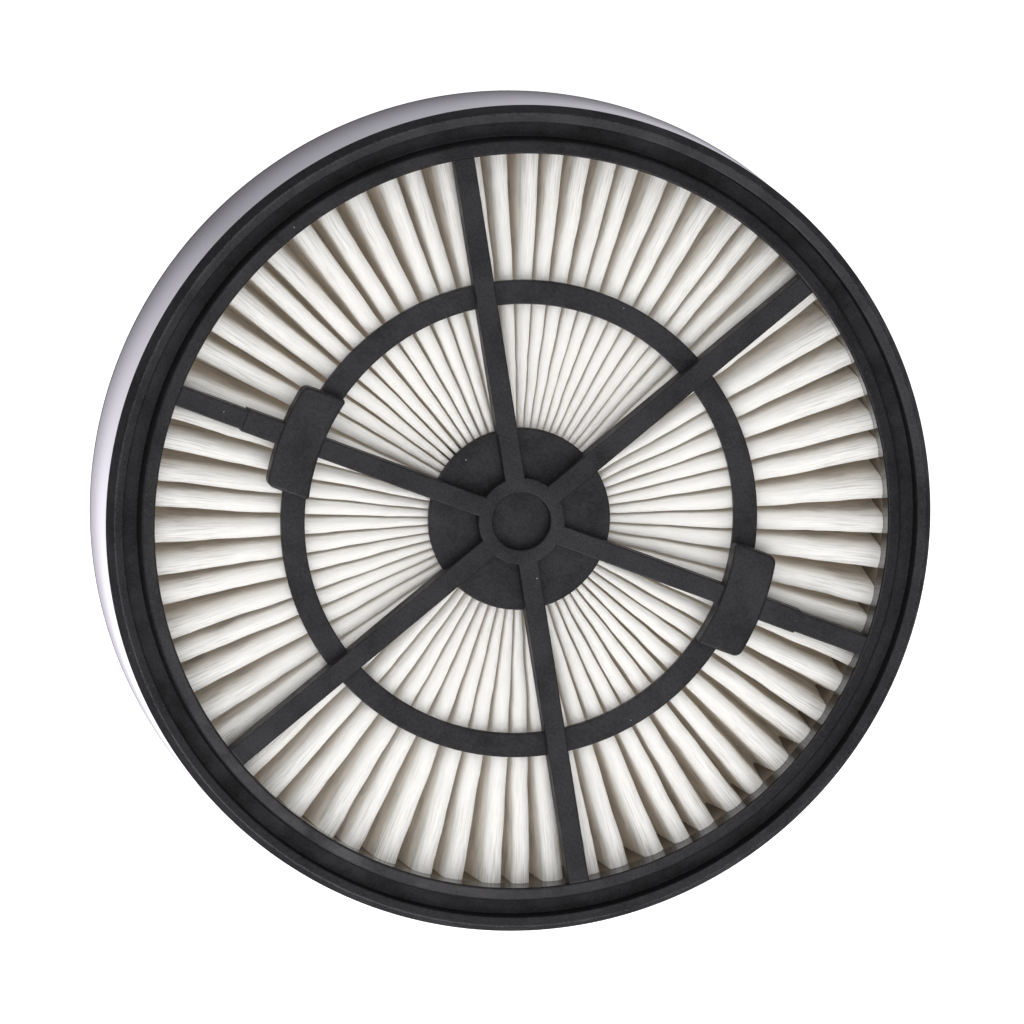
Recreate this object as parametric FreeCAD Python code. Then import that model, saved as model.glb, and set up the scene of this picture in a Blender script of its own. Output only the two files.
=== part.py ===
"""Round cartridge filter with a radially pleated disc, lying on its back, face up.

Millimetres, +Z up. The origin is on the axis, in the plane that the back of the rim rests on.
"""
import FreeCAD, Part
import math
import os

# Rim: a drum with a lip, a groove behind it and a bezel around the opening
RIM_RADIUS = 70.0
RIM_HEIGHT = 21.2
RIM_WALL = 2.7
LIP_RISE = 2.8
LIP_LEAN = 1.05
LIP_FALL = 0.3
GROOVE_WIDTH = 2.8
GROOVE_DEPTH = 3.5
GROOVE_WEB = 1.8
BEZEL_WALL = 2.35
BEZEL_RISE = 3.1
BEZEL_SLOPE = 0.9
BEZEL_ROUND = 0.9
RIM_ROUND = 0.35
BACK_ROUND = 0.6

# Spokes, hub and mid ring
SPOKE_COUNT = 6
SPOKE_WIDTH = 3.4
SPOKE_DEPTH = 4.2
SPOKE_BELOW_BEZEL = 0.4
RIB_ROUND = 0.25
HUB_HOLE_RADIUS = 4.9
HUB_RING_WIDTH = 2.45
HUB_PLATE_RADIUS = 15.4
MID_RING_RADIUS = 36.4
MID_RING_WIDTH = 4.0
WEB_THICKNESS = 1.4

# Finger tabs on the mid ring, over two opposite spokes
TAB_COUNT = 2
TAB_LENGTH = 18.0
TAB_REACH = 7.35
TAB_RISE = 0.7
TAB_PLATE = 3.2
TAB_CORNER = 1.35
TAB_INNER_CORNER = 0.6
TAB_ROUND = 0.5
PAD_REACH = 6.4
PAD_RISE = 0.3
PAD_EXTRA_WIDTH = 0.5

# Pleated sheet: how many folds lie between one spoke and the next, counter-clockwise
PLEATS_PER_SECTOR = (11, 14, 12, 12, 11, 12)
SHEET_THICKNESS = 0.4
FOLD_CLEARANCE = 0.3
INNER_FOLD_RADIUS = 0.25
OUTER_VALLEY_RADIUS = 0.35
OUTER_RIDGE_SHARE = 0.52
RIDGE_WANDER = 0.13
RIDGE_STEPS = 2
VALLEY_STEPS = 1

# Core plug and glue beads, at the back
PLUG_RECESS = 0.6
PLUG_FLANGE = 1.2
PLUG_FLANGE_OVERLAP = 1.1
PLUG_WALL = 1.6
PLUG_CLEARANCE = 0.2
PLUG_ROUND = 0.4
BEAD_HEIGHT = 1.1
RIM_BEAD_WIDTH = 3.0
CORE_BEAD_WIDTH = 1.9

# Radii and levels that follow from the sizes above
groove_outer = RIM_RADIUS - RIM_WALL
bezel_outer = groove_outer - GROOVE_WIDTH
opening_radius = bezel_outer - BEZEL_WALL
lip_top = RIM_HEIGHT + LIP_RISE
groove_floor = lip_top - LIP_FALL - GROOVE_DEPTH
bezel_top = RIM_HEIGHT + BEZEL_RISE + BEZEL_SLOPE
spoke_top = bezel_top - SPOKE_BELOW_BEZEL
spoke_bottom = spoke_top - SPOKE_DEPTH
web_top = spoke_bottom + WEB_THICKNESS
hub_ring_outer = HUB_HOLE_RADIUS + HUB_RING_WIDTH
mid_ring_outer = MID_RING_RADIUS + MID_RING_WIDTH
tab_top = spoke_top + TAB_RISE
tab_outer = MID_RING_RADIUS + TAB_REACH
pad_outer = tab_outer + PAD_REACH
plug_radius = HUB_PLATE_RADIUS - PLUG_FLANGE_OVERLAP
flange_top = PLUG_RECESS + PLUG_FLANGE
sheet_inner = plug_radius + FOLD_CLEARANCE
sheet_outer = opening_radius - FOLD_CLEARANCE
sheet_top = spoke_bottom - FOLD_CLEARANCE
sheet_bottom = flange_top + FOLD_CLEARANCE


def vector(x, y, z=0.0):
    return FreeCAD.Vector(x, y, z)


def rounded_wire(corners):
    """Closed wire through (point, radius) corners, each corner rounded to its radius."""
    starts, arcs = [], []
    count = len(corners)
    for i, (corner, radius) in enumerate(corners):
        to_last = (corners[i - 1][0] - corner).normalize()
        to_next = (corners[(i + 1) % count][0] - corner).normalize()
        half = to_last.getAngle(to_next) / 2
        if radius <= 0 or half > math.radians(89):
            starts.append((corner, corner))
            continue
        cut = radius / math.tan(half)
        first, last = corner + to_last * cut, corner + to_next * cut
        inwards = (to_last + to_next).normalize()
        middle = corner + inwards * (radius / math.sin(half) - radius)
        starts.append((first, last))
        arcs.append(Part.Arc(first, middle, last).toShape())
    edges = list(arcs)
    for i in range(count):
        leave, reach = starts[i][1], starts[(i + 1) % count][0]
        if leave.distanceToPoint(reach) > 1e-6:
            edges.append(Part.LineSegment(leave, reach).toShape())
    return Part.Wire(Part.__sortEdges__(edges))


def turned(profile):
    """Solid of revolution about Z from (radius, height, corner round) points."""
    corners = [(vector(r, 0, z), corner) for r, z, corner in profile]
    return Part.Face(rounded_wire(corners)).revolve(vector(0, 0, 0), vector(0, 0, 1), 360)


def ring(inner, outer, bottom, top, corner):
    """Flat ring with its top edges rounded."""
    return turned([(inner, bottom, 0), (outer, bottom, 0), (outer, top, corner), (inner, top, corner)])


def bar(start, end, width, bottom, top, corner):
    """Straight rib along +X, with its two long top edges rounded."""
    half = width / 2
    section = [((-half, bottom), 0), ((half, bottom), 0), ((half, top), corner), ((-half, top), corner)]
    wire = rounded_wire([(vector(start, y, z), r) for (y, z), r in section])
    return Part.Face(wire).extrude(vector(end - start, 0, 0))


def around(shape, count):
    """Copies of the shape, turned evenly about Z."""
    copies = []
    for i in range(count):
        copy = shape.copy()
        copy.rotate(vector(0, 0, 0), vector(0, 0, 1), i * 360 / count)
        copies.append(copy)
    return copies


def make_rim():
    """Double-walled drum: the floor of the front groove joins its two walls."""
    return turned([
        (RIM_RADIUS, 0, BACK_ROUND),
        (RIM_RADIUS, RIM_HEIGHT, RIM_ROUND),
        (RIM_RADIUS - LIP_LEAN, lip_top, RIM_ROUND),
        (groove_outer, lip_top - LIP_FALL, RIM_ROUND),
        (groove_outer, groove_floor, RIM_ROUND),
        (bezel_outer, groove_floor, RIM_ROUND),
        (bezel_outer, RIM_HEIGHT + BEZEL_RISE, BEZEL_ROUND),
        (opening_radius, bezel_top, RIM_ROUND),
        (opening_radius, 0, BACK_ROUND),
        (bezel_outer, 0, RIM_ROUND),
        (bezel_outer, groove_floor - GROOVE_WEB, RIM_ROUND),
        (groove_outer, groove_floor - GROOVE_WEB, RIM_ROUND),
        (groove_outer, 0, RIM_ROUND),
    ])


def make_spoke():
    """Rib from inside the hub ring's wall into the bezel's wall."""
    start = HUB_HOLE_RADIUS + HUB_RING_WIDTH / 2
    end = opening_radius + BEZEL_WALL / 2
    return bar(start, end, SPOKE_WIDTH, spoke_bottom, spoke_top, RIB_ROUND)


def make_tab():
    """Finger tab: a curved block with parallel ends, standing on the mid ring and reaching outwards."""
    half = TAB_LENGTH / 2
    block = Part.makeBox(TAB_REACH + MID_RING_RADIUS, TAB_LENGTH, tab_top - spoke_bottom,
                         vector(0, -half, spoke_bottom))
    outside = Part.makeCylinder(tab_outer, tab_top)
    inside = Part.makeCylinder(MID_RING_RADIUS, tab_top)
    block = block.common(outside).cut(inside)
    for wall, corner in ((tab_outer, TAB_CORNER), (MID_RING_RADIUS, TAB_INNER_CORNER)):
        upright = [e for e in block.Edges if e.BoundBox.ZLength > TAB_ROUND and e.BoundBox.YLength < 1e-6
                   and abs(math.hypot(e.CenterOfMass.x, e.CenterOfMass.y) - wall) < 1e-6]
        block = block.makeFillet(corner, upright)
    rim_edges = [e for e in block.Edges
                 if e.BoundBox.ZLength < 1e-6 and abs(e.CenterOfMass.z - tab_top) < 1e-6]
    block = block.makeFillet(TAB_ROUND, rim_edges)
    under = Part.makeCylinder(tab_outer + TAB_REACH, tab_top - TAB_PLATE).cut(
        Part.makeCylinder(mid_ring_outer, tab_top - TAB_PLATE))
    block = block.cut(under)
    pad = bar(mid_ring_outer - MID_RING_WIDTH / 2, pad_outer, SPOKE_WIDTH + PAD_EXTRA_WIDTH,
              spoke_bottom, spoke_top + PAD_RISE, RIB_ROUND)
    return block.fuse(pad)


def make_frame():
    """The one moulding that the eye sees: rim, spokes, mid ring, hub and finger tabs."""
    hub_plate = turned([(0, spoke_bottom, 0), (HUB_PLATE_RADIUS, spoke_bottom, 0),
                        (HUB_PLATE_RADIUS, web_top, RIB_ROUND), (0, web_top, 0)])
    hub_ring = ring(HUB_HOLE_RADIUS, hub_ring_outer, spoke_bottom, spoke_top, RIB_ROUND)
    mid_ring = ring(MID_RING_RADIUS, mid_ring_outer, spoke_bottom, web_top, RIB_ROUND)
    spokes = around(make_spoke(), SPOKE_COUNT)
    tabs = around(make_tab(), TAB_COUNT)
    return make_rim().multiFuse([hub_plate, hub_ring, mid_ring] + spokes + tabs).removeSplitter()


def ridge_angles():
    """Angle of each ridge at the outer end, in radians, unevenly spaced as folded by hand."""
    sector = 2 * math.pi / SPOKE_COUNT
    even, uneven = [], []
    for i in range(SPOKE_COUNT):
        count = PLEATS_PER_SECTOR[i % len(PLEATS_PER_SECTOR)]
        for k in range(count):
            pitch = sector / count
            even.append(i * sector + (k + 0.5) * pitch)
            j = len(even)
            drift = math.sin(2.4 * j) + 0.6 * math.sin(5.3 * j + 1)
            uneven.append(even[-1] + RIDGE_WANDER * pitch * drift)
    return even, uneven


def flank_angle(half_pitch, rise, ridge_radius, valley_radius):
    """How far a fold's arc turns from its crown to where it meets the straight flank."""
    drop = rise - ridge_radius - valley_radius
    centres = math.hypot(half_pitch, drop)
    lean = math.atan2(half_pitch, drop) - math.asin((ridge_radius + valley_radius) / centres)
    return math.pi / 2 - lean


def turns(first, last, steps):
    """Turns of the sheet along a fold's arc, from its start over its crown to its end."""
    return [-first * (1 - k / steps) for k in range(steps)] + [last * k / steps for k in range(steps + 1)]


def fold_points(angles, radius, ridge_share, valley_radius, offset):
    """Points of one face of the sheet at one radius, offset from its middle, all the way round.

    Each side of a ridge is rounded by a share of the way to the valley on that side.
    """
    top, bottom = sheet_top - SHEET_THICKNESS / 2, sheet_bottom + SHEET_THICKNESS / 2
    points = []
    count = len(angles)
    for i, ridge in enumerate(angles):
        gaps = (ridge - angles[i - 1], angles[(i + 1) % count] - ridge)
        halves = [gap % (2 * math.pi) / 2 * radius for gap in gaps]
        rounds = [max(INNER_FOLD_RADIUS, ridge_share * half) for half in halves]
        bends = [flank_angle(half, top - bottom, r, valley_radius) for half, r in zip(halves, rounds)]
        for bend in turns(bends[0], bends[1], RIDGE_STEPS):
            r = rounds[0] if bend < 0 else rounds[1]
            arc = r + offset
            points.append((ridge + arc * math.sin(bend) / radius, top - r + arc * math.cos(bend)))
        arc = valley_radius - offset
        valley = ridge + halves[1] / radius
        for bend in turns(bends[1], bends[1], VALLEY_STEPS):
            points.append((valley + arc * math.sin(bend) / radius, bottom + valley_radius - arc * math.cos(bend)))
    return [vector(radius * math.cos(a), radius * math.sin(a), z) for a, z in points]


def split(a, b, c, d):
    """Two triangles of a four-sided facet, parted from its first corner to its third."""
    return [(a, b, c), (a, c, d)]


def make_pleated_media():
    """One sheet folded to and fro into a ring of radial pleats, closed on itself.

    A flank twists from its inner to its outer end, so both faces of the sheet are parted along the
    same diagonal, which keeps the thickness even.
    """
    even, uneven = ridge_angles()
    half = SHEET_THICKNESS / 2
    loops = []
    for offset in (half, -half):
        loops.append(fold_points(even, sheet_inner, 0, INNER_FOLD_RADIUS, offset))
        loops.append(fold_points(uneven, sheet_outer, OUTER_RIDGE_SHARE, OUTER_VALLEY_RADIUS, offset))
    points = [p for loop in loops for p in loop]
    columns = len(loops[0])
    facets = []
    for i in range(columns):
        k = (i + 1) % columns
        upper_in, upper_out, lower_in, lower_out = [n * columns + i for n in range(4)]
        upper_in_next, upper_out_next, lower_in_next, lower_out_next = [n * columns + k for n in range(4)]
        facets += split(upper_in, upper_out, upper_out_next, upper_in_next)
        facets += split(lower_in, lower_in_next, lower_out_next, lower_out)
        facets += split(upper_out, lower_out, lower_out_next, upper_out_next)
        facets += split(lower_in, upper_in, upper_in_next, lower_in_next)
    skin = Part.Shape()
    skin.makeShapeFromMesh((points, facets), 1e-4, False)
    solid = Part.makeSolid(Part.Shell(skin.Faces))
    if solid.Volume < 0:
        solid.reverse()
    return solid


def make_core_plug():
    """Flanged cup pushed in from the back, which closes the bore of the pleats."""
    inside = plug_radius - PLUG_WALL
    return turned([
        (0, PLUG_RECESS, 0),
        (HUB_PLATE_RADIUS, PLUG_RECESS, PLUG_ROUND),
        (HUB_PLATE_RADIUS, flange_top, 0),
        (plug_radius, flange_top, 0),
        (plug_radius, spoke_bottom - PLUG_CLEARANCE, 0),
        (inside, spoke_bottom - PLUG_CLEARANCE, 0),
        (inside, flange_top, 0),
        (0, flange_top, 0),
    ])


def glue_bead(wall, width):
    """Quarter-round run of glue against a round wall, thinning away from it."""
    corners = [vector(wall, 0, flange_top), vector(wall + width, 0, flange_top),
               vector(wall, 0, flange_top - BEAD_HEIGHT)]
    bulge = vector(wall + width * math.sqrt(0.4), 0, flange_top - BEAD_HEIGHT * math.sqrt(0.4))
    edges = [Part.LineSegment(corners[2], corners[0]).toShape(),
             Part.LineSegment(corners[0], corners[1]).toShape(),
             Part.Arc(corners[1], bulge, corners[2]).toShape()]
    return Part.Face(Part.Wire(edges)).revolve(vector(0, 0, 0), vector(0, 0, 1), 360)


def make_rim_glue_bead():
    """Glue that seals the outer pleat ends to the rim, at the back."""
    return glue_bead(opening_radius, -RIM_BEAD_WIDTH)


def make_core_glue_bead():
    """Glue around the plug's flange, over the inner pleat ends, at the back."""
    return glue_bead(HUB_PLATE_RADIUS, CORE_BEAD_WIDTH)


PARTS = {
    "frame": make_frame,
    "pleated_media": make_pleated_media,
    "core_plug": make_core_plug,
    "rim_glue_bead": make_rim_glue_bead,
    "core_glue_bead": make_core_glue_bead,
}

os.makedirs("parts", exist_ok=True)
for name, make in PARTS.items():
    shape = make()
    shape.exportStep("parts/" + name + ".step")
    print(name, "solids", len(shape.Solids), "valid", shape.isValid(), "cm3", round(shape.Volume / 1000, 3))
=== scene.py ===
"""A round cartridge filter lying face up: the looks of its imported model.

Lengths are in metres and angles in radians unless a name says otherwise. The filter's axis is +Z,
its back rests on the plane z = 0, and its finger tabs lie along X.
"""

import logging
import math
from dataclasses import dataclass
from enum import Enum
from typing import Dict, List, Optional, Sequence, Tuple, Union

import bmesh
import bpy
from bpy.types import ID, Material, Mesh, Node, NodeSocket, NodeTree, Object
from mathutils import Matrix, Vector

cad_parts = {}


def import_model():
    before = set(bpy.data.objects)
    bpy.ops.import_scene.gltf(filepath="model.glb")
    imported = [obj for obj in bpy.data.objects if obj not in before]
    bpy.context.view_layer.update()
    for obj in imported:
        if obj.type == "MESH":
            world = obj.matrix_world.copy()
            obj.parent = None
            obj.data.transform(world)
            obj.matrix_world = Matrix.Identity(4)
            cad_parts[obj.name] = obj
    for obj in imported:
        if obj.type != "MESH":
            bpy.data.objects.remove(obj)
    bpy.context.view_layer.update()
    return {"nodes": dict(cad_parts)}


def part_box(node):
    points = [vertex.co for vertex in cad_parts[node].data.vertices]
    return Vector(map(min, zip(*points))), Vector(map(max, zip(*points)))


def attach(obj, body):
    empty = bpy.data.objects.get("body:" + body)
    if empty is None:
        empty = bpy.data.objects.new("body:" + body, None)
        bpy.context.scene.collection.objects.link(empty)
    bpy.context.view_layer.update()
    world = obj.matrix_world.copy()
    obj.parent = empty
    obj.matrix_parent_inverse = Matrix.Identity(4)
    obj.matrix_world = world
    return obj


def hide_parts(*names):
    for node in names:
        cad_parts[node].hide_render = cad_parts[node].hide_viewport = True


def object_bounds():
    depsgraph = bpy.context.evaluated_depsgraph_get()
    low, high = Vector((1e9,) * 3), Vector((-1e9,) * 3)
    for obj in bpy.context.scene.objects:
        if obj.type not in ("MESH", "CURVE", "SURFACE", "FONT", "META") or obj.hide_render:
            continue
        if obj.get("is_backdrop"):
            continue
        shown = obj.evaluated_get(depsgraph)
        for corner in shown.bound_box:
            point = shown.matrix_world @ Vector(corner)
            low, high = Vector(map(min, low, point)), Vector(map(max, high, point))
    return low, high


LOG = logging.getLogger("cartridge_filter")
MM = 0.001
TURN = 2 * math.pi
BODY = "root"

# A corner flatter than this stays a plain point.
STRAIGHT_DEGREES = 178.0

# Points of a lathe that are closer than this are one point.
SAME_POINT = 1e-7

# How far a noise texture strays to each side of 0.5.
NOISE_REACH = 0.25

# The highest value of a * (1 - a) ** 2 between 0 and 1.
SWELL_PEAK = 4 / 27

Colour = Tuple[float, float, float]
Corner = Tuple[float, float, float]
Pair = Tuple[float, float]
Outline = List[Pair]
Operand = Union["Term", float, int]
Source = Union["Term", NodeSocket]
Tint = Union[Colour, NodeSocket]


class Slot(Enum):
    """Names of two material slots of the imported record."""

    PLASTIC = "black_plastic"
    SHEET = "pleated_sheet"


class Ring(Enum):
    """How a lathe's profile ends: at its own start, or with both ends on the axis."""

    CLOSED = "closed"
    ON_AXIS = "on_axis"


class Term:
    """One value in a node tree, which plain arithmetic carries on as math nodes."""

    def __init__(self, graph: "Graph", socket: NodeSocket) -> None:
        """Holds the socket that gives the value.

        Args:
            graph: The graph that the socket's node is in.
            socket: The output socket.
        """
        self.graph = graph
        self.socket = socket

    def __add__(self, other: Operand) -> "Term":
        """Sum."""
        return self.graph.math("ADD", self, other)

    def __sub__(self, other: Operand) -> "Term":
        """Difference."""
        return self.graph.math("SUBTRACT", self, other)

    def __rsub__(self, other: Operand) -> "Term":
        """Difference, the other way round."""
        return self.graph.math("SUBTRACT", other, self)

    def __mul__(self, other: Operand) -> "Term":
        """Product."""
        return self.graph.math("MULTIPLY", self, other)

    def __truediv__(self, other: Operand) -> "Term":
        """Quotient."""
        return self.graph.math("DIVIDE", self, other)

    def __mod__(self, other: Operand) -> "Term":
        """Remainder, never negative."""
        return self.graph.math("FLOORED_MODULO", self, other)


class Graph:
    """Writes the nodes of one tree, for geometry or for a material."""

    def __init__(self, tree: NodeTree) -> None:
        """Starts on an empty tree.

        Args:
            tree: The tree to write in.
        """
        self.tree = tree
        tree.nodes.clear()

    def node(self, kind: str, inputs: Optional[Dict] = None, **settings: object) -> Node:
        """Adds a node.

        Args:
            kind: The node's type name.
            inputs: Values, terms or sockets for its inputs, by name or number.
            settings: The node's own properties.

        Returns:
            The new node.
        """
        made = self.tree.nodes.new(kind)
        for name, value in settings.items():
            setattr(made, name, value)
        for key, value in (inputs or {}).items():
            self.feed(made.inputs[key], value)
        return made

    def feed(self, target: NodeSocket, value: object) -> None:
        """Links a term or socket to an input, or sets the input's own value.

        Args:
            target: The input socket.
            value: What it takes.
        """
        if isinstance(value, Term):
            value = value.socket
        if isinstance(value, NodeSocket):
            self.tree.links.new(value, target)
        else:
            target.default_value = value

    def term(self, node: Node, output: Union[int, str] = 0) -> Term:
        """An output of a node, as a term."""
        return Term(self, node.outputs[output])

    def math(self, operation: str, *operands: Operand) -> Term:
        """Adds a math node.

        Args:
            operation: The math node's operation.
            operands: Its inputs, in order.

        Returns:
            Its result.
        """
        return self.term(self.node("ShaderNodeMath", dict(enumerate(operands)), operation=operation))

    def ramp(self, value: Operand, low: Operand, high: Operand, to_low: Operand = 0.0,
             to_high: Operand = 1.0, smooth: bool = False) -> Term:
        """Maps a value from one range to another, held at both ends.

        Args:
            value: What is mapped.
            low: The value that gives to_low.
            high: The value that gives to_high.
            to_low: The result at and below low.
            to_high: The result at and above high.
            smooth: Whether the ends are eased.

        Returns:
            The mapped value.
        """
        shape = "SMOOTHSTEP" if smooth else "LINEAR"
        limits = {0: value, 1: low, 2: high, 3: to_low, 4: to_high}
        return self.term(self.node("ShaderNodeMapRange", limits, interpolation_type=shape))

    def blend(self, share: Operand, first: Operand, second: Operand) -> Term:
        """First at a share of 0 and second at a share of 1, unheld."""
        return share * (second - first) + first

    def vector(self, x: Operand, y: Operand, z: Operand) -> Term:
        """A vector from three values."""
        return self.term(self.node("ShaderNodeCombineXYZ", {0: x, 1: y, 2: z}))

    def parts(self, vector: Source) -> Tuple[Term, Term, Term]:
        """The three values of a vector."""
        split = self.node("ShaderNodeSeparateXYZ", {0: vector})
        return self.term(split, 0), self.term(split, 1), self.term(split, 2)

    def reach(self, x: Term, y: Term) -> Term:
        """The distance from the axis."""
        return self.math("SQRT", x * x + y * y)

    def noise(self, place: Source, scale: float, detail: float, roughness: float = 0.5,
              distortion: float = 0.0) -> Term:
        """Adds a noise texture.

        Args:
            place: Where it is read, as a vector.
            scale: How many waves go into one unit.
            detail: How many finer waves lie over them.
            roughness: How strong the finer waves are.
            distortion: How far the whole is warped.

        Returns:
            Its value, which is 0.5 in the middle.
        """
        return self.term(self.node("ShaderNodeTexNoise", {
            "Vector": place, "Scale": scale, "Detail": detail, "Roughness": roughness,
            "Distortion": distortion}))

    def mix(self, share: Term, first: Tint, second: Tint) -> NodeSocket:
        """Adds a colour mix.

        Args:
            share: 0 for the first colour and 1 for the second.
            first: A colour or its socket.
            second: A colour or its socket.

        Returns:
            The socket of the mixed colour.
        """
        ends = [(*tint, 1) if isinstance(tint, tuple) else tint for tint in (first, second)]
        mixed = self.node("ShaderNodeMix", {0: share, "A": ends[0], "B": ends[1]}, data_type="RGBA")
        return mixed.outputs["Result"]


class ShapeTree(Graph):
    """A geometry node tree with named inputs for its sizes."""

    def __init__(self, name: str) -> None:
        """Starts a tree that takes and gives geometry.

        Args:
            name: The tree's name.
        """
        super().__init__(bpy.data.node_groups.new(name, "GeometryNodeTree"))
        self.tree.interface.new_socket("Geometry", in_out="INPUT", socket_type="NodeSocketGeometry")
        self.tree.interface.new_socket("Geometry", in_out="OUTPUT", socket_type="NodeSocketGeometry")
        self.values: Dict[str, Union[float, int]] = {}
        self.identifiers: Dict[str, str] = {}
        self.inputs = self.node("NodeGroupInput")

    def size(self, name: str, value: Union[float, int], kind: str = "NodeSocketFloat") -> Term:
        """Adds a named input.

        Args:
            name: What the input is called.
            value: What the modifier gives it.
            kind: The socket's type.

        Returns:
            The input inside the tree.
        """
        socket = self.tree.interface.new_socket(name, in_out="INPUT", socket_type=kind)
        self.values[name] = value
        self.identifiers[name] = socket.identifier
        return self.term(self.inputs, name)

    def geometry(self) -> NodeSocket:
        """The geometry that the modifier's object brings."""
        return self.inputs.outputs["Geometry"]

    def close(self, geometry: NodeSocket, material: Material) -> None:
        """Ends the tree: real faces, with their material.

        Args:
            geometry: What the tree has made.
            material: The material of all its faces.
        """
        real = self.node("GeometryNodeRealizeInstances", {"Geometry": geometry})
        dressed = self.node("GeometryNodeSetMaterial", {"Geometry": real.outputs[0], "Material": material})
        self.node("NodeGroupOutput", {"Geometry": dressed.outputs[0]})

    def apply(self, base: Object, name: str) -> Object:
        """Runs the tree on an object and keeps the result as a plain mesh.

        Args:
            base: The object that the tree starts from, which is removed.
            name: The name of the new object.

        Returns:
            The new object, with no modifier.
        """
        modifier = base.modifiers.new(self.tree.name, "NODES")
        modifier.node_group = self.tree
        for label, value in self.values.items():
            modifier[self.identifiers[label]] = value
        mesh = bpy.data.meshes.new_from_object(base.evaluated_get(bpy.context.evaluated_depsgraph_get()))
        base.modifiers.remove(modifier)
        bpy.data.objects.remove(base)
        return add_object(name, mesh)


def add_object(name: str, data: ID) -> Object:
    """Puts an object in the scene.

    Args:
        name: The object's name.
        data: Its mesh, in the filter's frame, or its lamp or camera.

    Returns:
        The new object, at the origin.
    """
    data.name = name
    made = bpy.data.objects.new(name, data)
    bpy.context.scene.collection.objects.link(made)
    return made


def rounded(corners: Sequence[Corner], steps: int = 4) -> Outline:
    """Closed outline with its corners rounded.

    Args:
        corners: Points as (x, y, radius), in order round the outline.
        steps: How many edges each rounded corner has.

    Returns:
        The outline's points.
    """
    points: Outline = []
    for i, (x, y, radius) in enumerate(corners):
        here = Vector((x, y))
        to_last = (Vector(corners[i - 1][:2]) - here).normalized()
        to_next = (Vector(corners[(i + 1) % len(corners)][:2]) - here).normalized()
        half = to_last.angle(to_next) / 2
        if radius <= 0 or half > math.radians(STRAIGHT_DEGREES / 2):
            points.append((x, y))
            continue
        centre = here + (to_last + to_next).normalized() * (radius / math.sin(half))
        start = here + to_last * (radius / math.tan(half)) - centre
        sweep = math.pi - 2 * half
        side = 1 if to_last.cross(to_next) < 0 else -1
        for k in range(steps + 1):
            points.append(tuple(centre + Matrix.Rotation(side * sweep * k / steps, 2) @ start))
    return points


def lathe(profile: Outline, segments: int, ring: Ring) -> Mesh:
    """Solid of revolution about Z.

    Args:
        profile: (radius, height) points, anticlockwise with the radius to the right.
        segments: How many copies of the profile stand round the axis.
        ring: How the profile ends.

    Returns:
        The mesh.
    """
    work = bmesh.new()
    rows = []
    for i in range(segments):
        angle = TURN * i / segments
        rows.append([work.verts.new((r * math.cos(angle), r * math.sin(angle), z)) for r, z in profile])
    spans = len(profile) if ring is Ring.CLOSED else len(profile) - 1
    for i in range(segments):
        here, beyond = rows[i], rows[(i + 1) % segments]
        for k in range(spans):
            n = (k + 1) % len(profile)
            work.faces.new((here[k], beyond[k], beyond[n], here[n]))
    bmesh.ops.remove_doubles(work, verts=work.verts, dist=SAME_POINT)
    return finish_mesh(work, bpy.data.meshes.new("lathe"))


def stack(layers: Sequence[Sequence[Corner]]) -> Mesh:
    """Closed solid whose skin joins a row of like outlines.

    Args:
        layers: The outlines, each with the same number of points.

    Returns:
        The mesh.
    """
    work = bmesh.new()
    loops = [[work.verts.new(point) for point in layer] for layer in layers]
    for lower, upper in zip(loops, loops[1:]):
        for i in range(len(lower)):
            k = (i + 1) % len(lower)
            work.faces.new((lower[i], lower[k], upper[k], upper[i]))
    work.faces.new(loops[0][::-1])
    work.faces.new(loops[-1])
    return finish_mesh(work, bpy.data.meshes.new("stack"))


def finish_mesh(work: bmesh.types.BMesh, mesh: Mesh) -> Mesh:
    """Points the faces outwards and writes them to a mesh.

    Args:
        work: The faces, which are freed.
        mesh: The mesh that takes them.

    Returns:
        The same mesh.
    """
    bmesh.ops.recalc_face_normals(work, faces=work.faces)
    work.to_mesh(mesh)
    work.free()
    return mesh


def keep_result(piece: Object) -> None:
    """Turns what a piece's modifiers give into its own mesh, and removes them.

    Args:
        piece: The object.
    """
    mesh = bpy.data.meshes.new_from_object(piece.evaluated_get(bpy.context.evaluated_depsgraph_get()))
    piece.modifiers.clear()
    piece.data = mesh


def fuse(name: str, parts: Sequence[Object]) -> Object:
    """One solid out of several that overlap.

    Args:
        name: The new object's name.
        parts: The closed solids; the first one takes in the others, which are removed.

    Returns:
        The fused object.
    """
    body = parts[0]
    for part in parts[1:]:
        union = body.modifiers.new("Union", "BOOLEAN")
        union.operation, union.solver, union.object = "UNION", "MANIFOLD", part
    keep_result(body)
    for part in parts[1:]:
        bpy.data.objects.remove(part)
    body.name = body.data.name = name
    return body


def smooth(piece: Object, degrees: float) -> None:
    """Shades a piece smooth, apart from its sharp edges, with its flat faces left flat.

    Args:
        piece: The object.
        degrees: The angle over which an edge stays sharp.
    """
    piece.data.shade_smooth()
    piece.data.set_sharp_from_angle(angle=math.radians(degrees))
    weighted = piece.modifiers.new("Flat faces", "WEIGHTED_NORMAL")
    weighted.keep_sharp = True
    keep_result(piece)


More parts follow.
